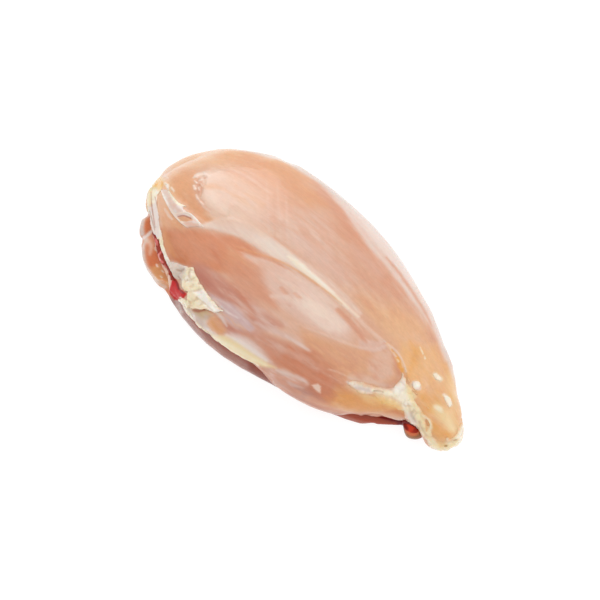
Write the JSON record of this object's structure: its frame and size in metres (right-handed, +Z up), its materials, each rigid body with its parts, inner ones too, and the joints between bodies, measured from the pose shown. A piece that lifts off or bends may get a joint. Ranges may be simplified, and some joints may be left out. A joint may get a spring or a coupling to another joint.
{
  "type": "raw chicken breast",
  "caption": "Raw boneless chicken breast: a plump teardrop of pale pink muscle with cream fat, a knobbly narrow tip and its slim inner fillet lying under one edge.",
  "frame": {"origin": "under the middle of the whole breast, on the surface that its cut side rests on", "axes": "+X along the length from the blunt shoulder end to the knobbly narrow tip, -Y towards the edge that shows the inner fillet, +Z up out of the smooth rounded skin side"},
  "size_m": [0.1853, 0.0918, 0.0365],
  "materials": {
    "muscle": "moist raw meat, pale pink-orange, glossy",
    "inner_muscle": "moist raw meat, darker brown-pink, glossy",
    "fat": "moist cream-yellow fat, soft sheen",
    "membrane": "thin wet milky membrane, glossy",
    "blood": "wet dark red blood, glossy"
  },
  "bodies": {
    "root": {"breast_fillet": "muscle", "inner_fillet": "inner_muscle"}
  },
  "joints": []
}
